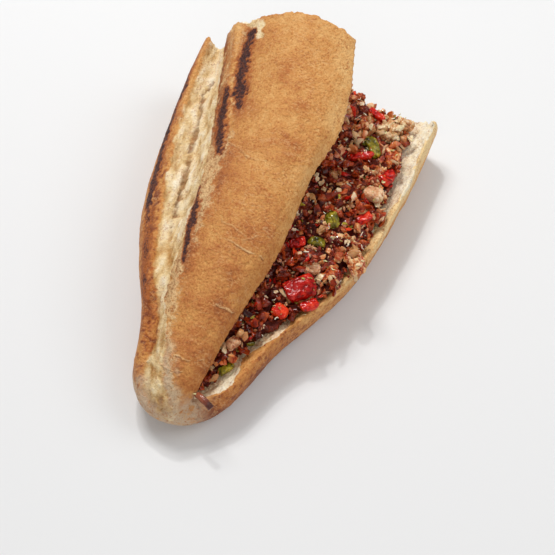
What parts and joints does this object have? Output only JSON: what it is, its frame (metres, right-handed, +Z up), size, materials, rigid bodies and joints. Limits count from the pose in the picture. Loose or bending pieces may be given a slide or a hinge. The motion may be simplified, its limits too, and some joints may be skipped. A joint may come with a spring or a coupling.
{
  "type": "filled bread sandwich",
  "caption": "Half a crusty white loaf slit along one side and propped open, heaped with chopped grilled lamb offal, peppers, tomato and onion.",
  "frame": {"origin": "centre of the footprint of the bounding box, on the surface the sandwich rests on", "axes": "+Y along the loaf from its closed nose to the crosswise cut, +X towards the open side of the slit, +Z up"},
  "size_m": [0.1374, 0.2082, 0.0823],
  "materials": {
    "bread": "matt golden baked crust with floury nose, pale rough crumb in the burst and on the cut faces, dark toasted streaks",
    "filling": "chopped browned meat with fine pepper and herbs, moist, satin with small highlights",
    "tomato": "wet red tomato flesh, glossy",
    "red_pepper": "red pepper skin, glossy",
    "green_pepper": "grilled olive-green pepper skin, glossy",
    "onion": "soft grilled onion, half translucent, satin",
    "meat": "browned lamb offal, pale to reddish brown, moist satin"
  },
  "bodies": {
    "root": {"bread": "bread", "filling": "filling", "tomato_chunk": "tomato", "red_pepper_by_tomato": "red_pepper", "red_pepper_near": "red_pepper", "red_pepper_middle": "red_pepper", "red_pepper_side": "red_pepper", "red_pepper_edge": "red_pepper", "red_pepper_strip": "red_pepper", "red_pepper_end": "red_pepper", "green_pepper_middle": "green_pepper", "green_pepper_shaded": "green_pepper", "green_pepper_far": "green_pepper", "green_pepper_near": "green_pepper", "onion_side": "onion", "onion_by_tomato": "onion", "onion_near": "onion", "meat_ledge": "meat", "meat_end_large": "meat", "meat_end_corner": "meat", "meat_end_pink": "meat", "meat_side_pink": "meat", "meat_over_rim": "meat", "browned_strand": "meat"}
  },
  "joints": []
}
